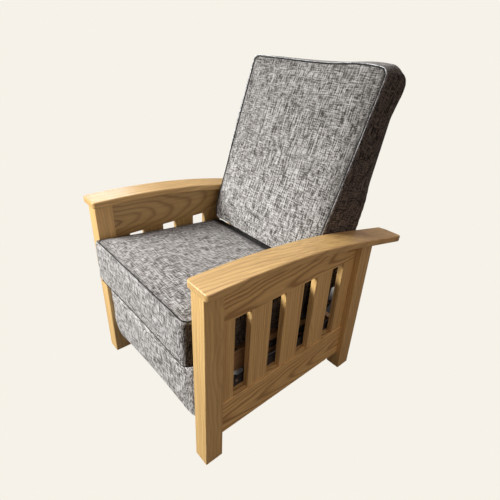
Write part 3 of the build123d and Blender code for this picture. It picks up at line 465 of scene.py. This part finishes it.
def puffed(obj, pin, pressure, cap, inset):
    """pin says from 0 to 1 how far each point is held, inset how deep the cloth starts under the surface, and
    cap is the most that a point moves.
    """
    mesh = obj.data
    begin = coordinates(mesh) - normals_of(obj) * (inset * (1 - pin))[:, None]
    set_coordinates(mesh, begin)
    group = obj.vertex_groups.new(name="pin")
    steps = np.round(pin * 10).astype(int)
    for level in range(1, 11):
        group.add([int(i) for i in np.nonzero(steps == level)[0]], level / 10, "REPLACE")
    cloth = obj.modifiers.new("cloth", "CLOTH")
    settings = cloth.settings
    settings.quality = 5
    settings.mass = 0.3
    settings.tension_stiffness = settings.compression_stiffness = 15
    settings.shear_stiffness = 6
    settings.bending_stiffness = 0.6
    settings.use_pressure = True
    settings.uniform_pressure_force = pressure
    settings.effector_weights.gravity = 0
    settings.vertex_group_mass = "pin"
    settings.pin_stiffness = 1.0
    cloth.collision_settings.use_collision = False
    for step in range(1, CLOTH_STEPS + 1):
        scene.frame_set(step)
    graph = bpy.context.evaluated_depsgraph_get()
    ended = coordinates(obj.evaluated_get(graph).to_mesh())
    obj.modifiers.clear()
    scene.frame_set(1)
    move = ended - begin
    far = np.linalg.norm(move, axis=1)
    move *= np.minimum(1.0, cap / np.maximum(far, 1e-9))[:, None]
    set_coordinates(mesh, begin + move)
    obj.vertex_groups.clear()


def finish_soft(obj, material, body, node, fill, **marks):
    """Material, smooth shading, one subdivision and its place in the frame.

    marks are the attributes that darken the cloth as painted shade.
    """
    mesh = obj.data
    for name, values in marks.items():
        layer = mesh.attributes.new(name, "FLOAT", "POINT")
        layer.data.foreach_set("value", values.astype(np.float32))
    mesh.materials.append(material)
    mesh.polygons.foreach_set("use_smooth", [True] * len(mesh.polygons))
    divide = obj.modifiers.new("fine", "SUBSURF")
    divide.levels = divide.render_levels = 1
    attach(obj, body)
    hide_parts(node)


def welt(name, points, radius, material, body, closed=True):
    """A sewn cord along points, as a tube of its own cloth."""
    curve = bpy.data.curves.new(name, "CURVE")
    curve.dimensions = "3D"
    curve.bevel_depth = radius
    curve.bevel_resolution = 3
    curve.resolution_u = 2
    curve.use_fill_caps = True
    line = curve.splines.new("NURBS")
    line.points.add(len(points) - 1)
    for point, place in zip(line.points, points):
        point.co = (*place, 1)
    line.order_u = 4
    line.use_cyclic_u = closed
    line.use_endpoint_u = not closed
    shape = link(bpy.data.objects.new(name + "_curve", curve))
    graph = bpy.context.evaluated_depsgraph_get()
    mesh = bpy.data.meshes.new_from_object(shape.evaluated_get(graph))
    bpy.data.objects.remove(shape)
    obj = link(bpy.data.objects.new(name, mesh))
    mesh.name = name
    mesh.materials.clear()
    mesh.materials.append(material)
    mesh.polygons.foreach_set("use_smooth", [True] * len(mesh.polygons))
    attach(obj, body)


def onto(obj, points, lift):
    """Points moved onto the surface of obj, this far above it."""
    surface = BVHTree.FromObject(obj, bpy.context.evaluated_depsgraph_get())
    placed = []
    for point in points:
        spot, normal, _, _ = surface.find_nearest(point)
        placed.append(spot + normal * lift)
    return placed


def dome(room, height, run):
    """Height of a stuffed face this far in from its seam."""
    return height * (1 - np.exp(-np.clip(room, 0, None) / run))


def near(value, width):
    """1 at nought, and falling to nothing over about this width."""
    return np.exp(-(value / width) ** 2)


# ---------------------------------------------------------------- seat cushion

# The lower edge of its front, its height, half its width and its depth along the slope
seat_front_y, seat_front_z = front_y - 0.015, 0.349
seat_high = 0.163
seat_half = 0.272
seat_deep = 0.506


def seat_local(co):
    """Across, along the slope from the front, and square above it."""
    y, z = co[:, 1] - seat_front_y, co[:, 2] - seat_front_z
    along = y * math.cos(fall) - z * math.sin(fall)
    above = y * math.sin(fall) + z * math.cos(fall)
    return co[:, 0], along, above


def seat_point(across, along, above):
    """The point with these three measures."""
    return Vector((across, seat_front_y + along * math.cos(fall) + above * math.sin(fall),
                   seat_front_z - along * math.sin(fall) + above * math.cos(fall)))


def seat_front_room(along, above):
    """How far behind the upright front face."""
    return along + math.tan(fall) * above


# side is the painted shade on the seat's boxing, darker than the back's
cloth_seat = tweed("tweed_seat", turn=fall, side=(0.2, 0.165, 0.135))
seat = remeshed("seat_cushion", "seat_cushion_soft", 0.0055, 5)

# The top is stuffed into a dome inside its seam
co = coordinates(seat.data)
across, along, above = seat_local(co)
edge_room = np.minimum(seat_half - np.abs(across), seat_front_room(along, above))
edge_room = np.minimum(edge_room, seat_deep - along)
normals = normals_of(seat)
top = smooth_step(0.5, 0.9, normals[:, 2] * math.cos(fall) + normals[:, 1] * math.sin(fall))
top *= smooth_step(0.14, 0.155, above)
seam = near(above - seat_high * 0.975, 0.010) * near(np.clip(edge_room - 0.006, 0, 1), 0.012)
lift = (dome(edge_room, 0.013, 0.05) - 0.004 - (above - seat_high)) * top
co[:, 1] += lift * math.sin(fall)
co[:, 2] += lift * math.cos(fall)
set_coordinates(seat.data, co)
bottom = 1 - smooth_step(0.004, 0.03, above)
rear = 1 - smooth_step(0.0, 0.06, seat_deep - along)
pin = np.clip(np.maximum.reduce([seam * 0.95, bottom, rear * 0.9]), 0, 1)
puffed(seat, pin, pressure=2.5, cap=0.018, inset=0.003)

# The sides stay clear of the legs, and in front of the leg the right corner swells sideways
co = coordinates(seat.data)
co[:, 0] = np.clip(co[:, 0], -0.2775, 0.2775)
across, along, above = seat_local(co)
ahead = 1 - smooth_step(0.002, 0.018, seat_front_room(along, above))
co[:, 0] -= (0.026 - 0.012 * smooth_step(0.10, 0.16, above)) * ahead * smooth_step(0.20, 0.27, -across)
set_coordinates(seat.data, co)

# Painted shade on the boxing, in the seam and where the back meets the seat, and painted shade over the far
# side and towards the rear, where the armrest and the back shade the top
across, along, above = seat_local(co)
edge_room = np.minimum(seat_half - np.abs(across), seat_front_room(along, above))
boxing = smooth_step(0.6, 0.9, np.abs(normals_of(seat)[:, 0])) * (1 - smooth_step(0.15, 0.158, above))
crease = near(above - 0.158, 0.004) * near(np.clip(edge_room, 0, 1), 0.02) * 0.3
crease = np.maximum(crease, smooth_step(0.458, 0.47, along))
nap = 0.5 * smooth_step(0.05, 0.26, -across) + 0.25 * smooth_step(0.2, 0.46, along)
nap *= smooth_step(0.14, 0.16, above) * smooth_step(0.02, 0.1, along)
finish_soft(seat, cloth_seat, "seat", "seat_cushion", 0.85, boxing=boxing, crease=crease, nap=nap)

# ---------------------------------------------------------------- footrest pad

pad_front_y = front_y + 0.005
cloth_pad = tweed("tweed_footrest", tone=(1.1, 1.13, 1.16))
pad = remeshed("footrest_pad", "footrest_pad_soft", 0.0045, 4)
pin = smooth_step(0.012, 0.03, coordinates(pad.data)[:, 1] - pad_front_y)
puffed(pad, pin, pressure=2.0, cap=0.008, inset=0.002)

# One end of its face lies a little further back, and the lower edge hangs down
co = coordinates(pad.data)
deep = co[:, 1] - pad_front_y
co[:, 1] += np.clip((co[:, 0] + 0.19) / 0.46, 0, 1) * 0.009 * (1 - smooth_step(0.0, 0.03, deep))
co[:, 2] -= 0.018 * (1 - smooth_step(0.13, 0.18, co[:, 2])) * (1 - smooth_step(0.03, 0.04, deep))
set_coordinates(pad.data, co)
# Painted shade along the top edge under the seat, and over the left end beside the leg
shaded = smooth_step(0.326, 0.336, co[:, 2]) * 0.5
finish_soft(pad, cloth_pad, "footrest", "footrest_pad", 0.8, crease=shaded,
            nap=smooth_step(0.246, 0.258, co[:, 0]) * 0.9)

# ---------------------------------------------------------------- back cushion

# The level on the front face from which heights are counted, and the height of the seam above it
back_foot_y, back_foot_z = front_y + 0.451, 0.470
back_high = 0.6356
cloth_back = tweed("tweed_back", turn=lean_back, contrast=0.85, tone=(0.975, 1.01, 1.035))
back = remeshed("back_cushion", "back_cushion_soft", 0.006, 4)


def back_local(co):
    """Across, up the front face, and square behind it."""
    y, z = co[:, 1] - back_foot_y, co[:, 2] - back_foot_z
    up = y * math.sin(lean_back) + z * math.cos(lean_back)
    behind = y * math.cos(lean_back) - z * math.sin(lean_back)
    return co[:, 0], up, behind


def back_point(across, up, behind):
    """The point with these three measures."""
    return Vector((across, back_foot_y + up * math.sin(lean_back) + behind * math.cos(lean_back),
                   back_foot_z + up * math.cos(lean_back) - behind * math.sin(lean_back)))


def back_half(up):
    """Half the width at this height."""
    return np.interp(up, [-0.35, 0.18, 0.41, 0.61], [0.245, 0.2645, 0.273, 0.278])


def back_room(across, up):
    """How far inside the side and top edges of the front face."""
    return np.minimum(back_half(up) - np.abs(across), back_high - up)


def rear_room(co):
    """How far in front of the rear face."""
    return (front_y + 0.690 + (co[:, 2] - 0.569) * math.tan(rear_lean) - co[:, 1]) * math.cos(rear_lean)


def top_lift(across):
    """How far the top edge swells up, most of all towards the left end."""
    return (0.003 + 0.008 * near(across - 0.19, 0.09)) * smooth_step(0.278, 0.255, np.abs(across))


# The lower corners are rounded, and the front face is stuffed into a dome inside its seam
co = coordinates(back.data)
across, up, behind = back_local(co)
down = np.clip((0.545 - co[:, 2]) / 0.060, 0, 1)
rounded = np.where(co[:, 2] < 0.545, 0.196 + 0.060 * np.sqrt(1 - down**2), 1.0)
hold = 1 - smooth_step(0.09, 0.13, behind)
co[:, 0] = np.sign(across) * (np.abs(across) * (1 - hold) + np.minimum(np.abs(across), rounded) * hold)
across, up, behind = back_local(co)
edge_room = np.minimum(back_room(across, up), up)
normals = normals_of(back)
facing = -normals[:, 1] * math.cos(lean_back) + normals[:, 2] * math.sin(lean_back)
face = smooth_step(0.4, 0.85, facing) * smooth_step(0.0, 0.02, up) * (1 - smooth_step(0.012, 0.02, behind))
push = (-(dome(edge_room, 0.014, 0.04) - 0.004) - behind) * face
co[:, 1] += push * math.cos(lean_back)
co[:, 2] -= push * math.sin(lean_back)
set_coordinates(back.data, co)

# The seam, the rear face on its frame and the part between the armrests are held
across, up, behind = back_local(co)
rear_in = rear_room(co)
seam = near(np.clip(back_room(across, up) - 0.006, 0, 1), 0.014)
seam *= near(np.clip(np.abs(behind - 0.004) - 0.004, 0, 1), 0.01)
rear_pin = np.where(rear_in < 0.062, 1.0, 1 - smooth_step(0.062, 0.075, rear_in))
low_pin = 1 - smooth_step(0.43, 0.50, co[:, 2])
pin = np.clip(np.maximum.reduce([seam * 0.95, rear_pin, low_pin]), 0, 1)
puffed(back, pin, pressure=2.5, cap=0.02, inset=0.003)

# The top swells up and the right side outward
co = coordinates(back.data)
across, up, behind = back_local(co)
crown = np.sin(np.pi * np.clip(behind / 0.115, 0, 1)) * (1 - smooth_step(0.25, 0.275, np.abs(across)))
swell = top_lift(across) + np.interp(across, [-0.25, 0.05], [0.003, 0.010]) * crown
co[:, 2] += swell * smooth_step(0.57, 0.63, up)
co[:, 0] -= 0.012 * smooth_step(0.24, 0.27, -across) * smooth_step(0.68, 0.85, co[:, 2])
# The side rounds off towards the rear, most of all below the top corners
turn = 0.020 * smooth_step(0.64, 0.80, co[:, 2]) * (1 - smooth_step(0.90, 1.045, co[:, 2]))
inward = np.clip(1 - rear_room(co) / 0.06, 0, 1)
co[:, 0] -= np.sign(co[:, 0]) * turn * inward**2 * smooth_step(0.236, 0.262, np.abs(co[:, 0]))
# Low down it stays clear of the armrests
room = np.interp(co[:, 2], [0.62, 0.66, 0.72], [0.2665, 0.268, 0.29])
co[:, 0] = np.clip(co[:, 0], -room, room)
set_coordinates(back.data, co)

# Painted shade on the boxing, in the seam and behind the seat, and painted shade towards the top and along
# the left edge, where the face turns away from the light
across, up, behind = back_local(co)
boxing = smooth_step(0.55, 0.8, np.abs(normals_of(back)[:, 0])) * smooth_step(0.008, 0.013, behind)
crease = near(back_room(across, up) - 0.012, 0.005) * near(behind, 0.012) * 0.25
tucked = (1 - smooth_step(0.478, 0.492, co[:, 2])) * (1 - smooth_step(0.1, 0.12, behind))
crease = np.maximum(crease, tucked)
nap = 0.68 * smooth_step(0.0, 0.6, up)
nap += 0.6 * (1 - smooth_step(0.01, 0.08, back_half(up) - across)) * (1 - smooth_step(0.0, 0.02, behind))
finish_soft(back, cloth_back, "back", "back_cushion", 0.85, boxing=boxing, crease=crease, nap=nap)

# ---------------------------------------------------------------- welts

# The welts' near-black cloth is painted shade for the shadow line along each seam, and the cord's pale cloth
# is a painted highlight where it catches the light
welt_painted_shade = tweed("tweed_welt", light=(0.08, 0.075, 0.07), mid=(0.03, 0.028, 0.026),
                  dark=(0.01, 0.01, 0.01))
cord_painted_highlight = tweed("tweed_cord", light=(0.85, 0.87, 0.88), mid=(0.5, 0.51, 0.51),
                   dark=(0.12, 0.12, 0.12))


def run(start, end, step=0.02):
    """Points of a straight line, without its end."""
    count = max(2, int(math.dist(start, end) / step))
    return [(start[0] + (end[0] - start[0]) * i / count, start[1] + (end[1] - start[1]) * i / count)
            for i in range(count)]


def bend(middle, radius, first, count=6):
    """Points of a quarter turn from this angle in degrees, without its end."""
    angles = [math.radians(first + 90 * i / count) for i in range(count)]
    return [(middle[0] + radius * math.cos(a), middle[1] + radius * math.sin(a)) for a in angles]


# Round the top of the seat cushion, and round its lower front edge
w, r, low, high = seat_half - 0.003, 0.022, 0.002, 0.502
seat_line = run((-w + r, low), (w - r, low)) + bend((w - r, low + r), r, -90)
seat_line += run((w, low + r), (w, high - r)) + bend((w - r, high - r), r, 0)
seat_line += run((w - r, high), (-w + r, high)) + bend((-w + r, high - r), r, 90)
seat_line += run((-w, high - r), (-w, low + r)) + bend((-w + r, low + r), r, 180)
seat_line = [seat_point(a, b - math.tan(fall) * seat_high, seat_high * 0.985) for a, b in seat_line]
# Both seat welts are near black as painted shade for the seam's shadow line
welt("seat_welt", onto(seat, seat_line, 0.0004), 0.0017, welt_painted_shade, "seat")
low_line = run((-w, low + 0.15), (-w, low + r)) + bend((-w + r, low + r), r, 180)
low_line += run((-w + r, low), (w - r, low)) + bend((w - r, low + r), r, -90)
low_line += run((w, low + r), (w, low + 0.15))
low_line = [seat_point(a * 1.02, b - 0.006, 0.009) for a, b in low_line]
welt("seat_low_welt", onto(seat, low_line, 0.0007), 0.0016, welt_painted_shade, "seat", closed=False)


def back_edge(inset, behind):
    """A line up one side of the back's front face, over the top and down the other side."""
    w, r, high = float(back_half(0.6)) - inset, 0.016, back_high - inset
    side = [(float(back_half(v)) - inset, v) for v in np.arange(0.0, high - r, 0.02)]
    line = side + bend((w - r, high - r), r, 0) + run((w - r, high), (-w + r, high))
    line += bend((-w + r, high - r), r, 90) + [(-a, b) for a, b in reversed(side)]
    return [back_point(a, b, behind) + Vector((0, 0, top_lift(a) * smooth_step(0.57, 0.63, b)))
            for a, b in line]


# Round the back runs a welt whose dark colour is painted shade, and outside it a cord whose light colour is a
# painted highlight
welt("back_welt", onto(back, back_edge(0.005, 0.001), 0.0008), 0.0025, welt_painted_shade, "back", closed=False)
welt("back_cord", onto(back, back_edge(0.0005, 0.0005), 0.0007), 0.0021, cord_painted_highlight, "back", closed=False)


# ---------------------------------------------------------------- stage, lights, camera

def linear(*rgb):
    """A display colour from 0 to 255 as linear light."""
    return tuple((c / 255 / 12.92) if c <= 10 else ((c / 255 + 0.055) / 1.055) ** 2.4 for c in rgb)


PAPER = linear(246, 242, 233)
FLOOR_SHADE = linear(46, 43, 42)

bpy.ops.mesh.primitive_circle_add(vertices=96, radius=9, fill_type="NGON", location=(0, 0, -0.0005))
floor = bpy.context.object
floor.name = "floor"
# To the camera the floor is evenly bright paper with a painted shadow, a fixed dark emission, behind and
# beneath the seat, to all other rays it is matte. Five soft edges bound the painted shadow.
ground = Tree("paper_floor")
ground.tree.nodes.remove(ground.shader)
x, y, z = ground.separate(ground.coords())
slant = ground.math("MULTIPLY_ADD", x, 0.793, y)
steep = ground.math("MULTIPLY_ADD", x, 2.017, y)
shade = ground.range(x, -0.54, -0.34, smooth=True)
for way, outer, inner in ((x, 0.27, 0.20), (slant, -0.14, 0.0), (steep, 0.96, 0.72), (y, 0.82, 0.56)):
    shade = ground.math("MULTIPLY", shade, ground.range(way, outer, inner, smooth=True))
kinds = {}
for name, kind, colour in (("glow", "Emission", PAPER), ("matte", "BsdfDiffuse", (0.14, 0.135, 0.125)),
                           ("dim", "Emission", FLOOR_SHADE)):
    node = ground.tree.nodes.new(f"ShaderNode{kind}")
    node.inputs["Color"].default_value = (*colour, 1)
    kinds[name] = node.outputs[0]
path = ground.tree.nodes.new("ShaderNodeLightPath")


def blend(factor, first, second):
    """The floor's shader between two others."""
    node = ground.tree.nodes.new("ShaderNodeMixShader")
    ground.join(factor, node.inputs[0])
    ground.join(first, node.inputs[1])
    ground.join(second, node.inputs[2])
    return node.outputs[0]


seen = blend(shade, kinds["glow"], kinds["dim"])
surface = blend(path.outputs["Is Camera Ray"], kinds["matte"], seen)
ground.join(surface, ground.output.inputs["Surface"])
floor.data.materials.append(ground.material)

# The same paper behind everything, and a weak warm sky that lights the object
world = bpy.data.worlds.new("studio")
scene.world = world
world.use_nodes = True
tree = world.node_tree
tree.nodes.clear()
paper = tree.nodes.new("ShaderNodeBackground")
paper.inputs["Color"].default_value = (*PAPER, 1)
sky = tree.nodes.new("ShaderNodeBackground")
sky.inputs["Color"].default_value = (1.0, 0.82, 0.78, 1)
sky.inputs["Strength"].default_value = 0.35
path = tree.nodes.new("ShaderNodeLightPath")
both = tree.nodes.new("ShaderNodeMixShader")
end = tree.nodes.new("ShaderNodeOutputWorld")
tree.links.new(path.outputs["Is Camera Ray"], both.inputs[0])
tree.links.new(sky.outputs[0], both.inputs[1])
tree.links.new(paper.outputs[0], both.inputs[2])
tree.links.new(both.outputs[0], end.inputs["Surface"])


def softbox(name, place, aim, watts, size, colour=(1, 1, 1)):
    """A round area light at place, turned to aim."""
    light = bpy.data.lights.new(name, "AREA")
    light.energy = watts
    light.shape = "DISK"
    light.size = size
    light.color = colour
    obj = link(bpy.data.objects.new(name, light))
    obj.location = place
    obj.rotation_euler = (Vector(place) - Vector(aim)).to_track_quat("Z", "Y").to_euler()


# The main light from the front right, a weak one from above, a warm one thrown back from the left, and a
# cool one along the far side
softbox("window", (-1.15, front_y - 2.0, 1.75), (0, -0.1, 0.5), 128, 1.1, (1.0, 0.99, 0.97))
softbox("ceiling", (-0.5, 0.35, 2.5), (0, -0.1, 0.5), 17, 1.2)
softbox("bounce", (2.4, 0.2, 1.5), (0, 0, 0.35), 4, 1.2, (1.0, 0.82, 0.72))
softbox("rim", (-2.22, 0.36, 1.43), (-0.3, -0.35, 0.63), 5, 0.5, (0.8, 0.9, 1.0))

# The camera as solved from the photograph, with its focal length in pixels of a picture this wide
FOCAL_PIXELS = 391.12
PICTURE_PIXELS = 500
camera_data = bpy.data.cameras.new("camera")
camera_data.sensor_width = 36
camera_data.lens = FOCAL_PIXELS * 36 / PICTURE_PIXELS
camera = link(bpy.data.objects.new("camera", camera_data))
eye = Vector((0.9218, front_y - 0.4022, 1.1454))
target = Vector((-0.0196, front_y + 0.4541, 0.4309))
forward = (target - eye).normalized()
right = forward.cross(Vector((0, 0, 1))).normalized()
up_way = right.cross(forward)
roll = math.radians(2.94)
right, up_way = (right * math.cos(roll) + up_way * math.sin(roll),
                 up_way * math.cos(roll) - right * math.sin(roll))
camera.matrix_world = Matrix((
    (right.x, up_way.x, -forward.x, eye.x),
    (right.y, up_way.y, -forward.y, eye.y),
    (right.z, up_way.z, -forward.z, eye.z),
    (0, 0, 0, 1)))
scene.camera = camera
scene.view_settings.view_transform = "Standard"
